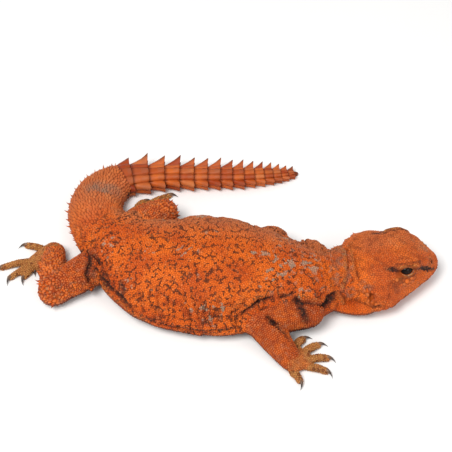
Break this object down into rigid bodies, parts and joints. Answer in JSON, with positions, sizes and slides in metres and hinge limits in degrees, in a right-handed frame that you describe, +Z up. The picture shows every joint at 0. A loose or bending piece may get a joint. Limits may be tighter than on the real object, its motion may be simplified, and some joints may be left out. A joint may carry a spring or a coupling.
{
  "type": "basking uromastyx lizard",
  "caption": "Life-size spiny-tailed desert lizard lying flat, with a broad body, triangular head, bent legs and a thick ringed tail of spines curled round to one side.",
  "frame": {"origin": "middle of the animal's footprint, on the floor", "axes": "+X forwards towards the head, +Y to the animal's left where the tail curls, +Z up"},
  "size_m": [0.2354, 0.1501, 0.0355],
  "materials": {
    "skin": "dry matt scales, orange-red with dark brown squiggles on the back",
    "tail": "dry matt keeled scales, brown-orange, greyer on the bend",
    "toes": "dry tan scales with dark horn claws",
    "eye": "wet black eye"
  },
  "bodies": {
    "root": {"head": "skin", "eye_left": "eye", "eye_right": "eye", "neck": "skin", "torso": "skin", "tail_base": "tail", "tail_middle": "tail", "tail_end": "tail", "arm_right": "skin", "forearm_right": "skin", "hand_right": "toes", "arm_left": "skin", "forearm_left": "skin", "hand_left": "toes", "thigh_right": "skin", "shank_right": "skin", "foot_right": "toes", "thigh_left": "skin", "shank_left": "skin", "foot_left": "toes"}
  },
  "joints": []
}
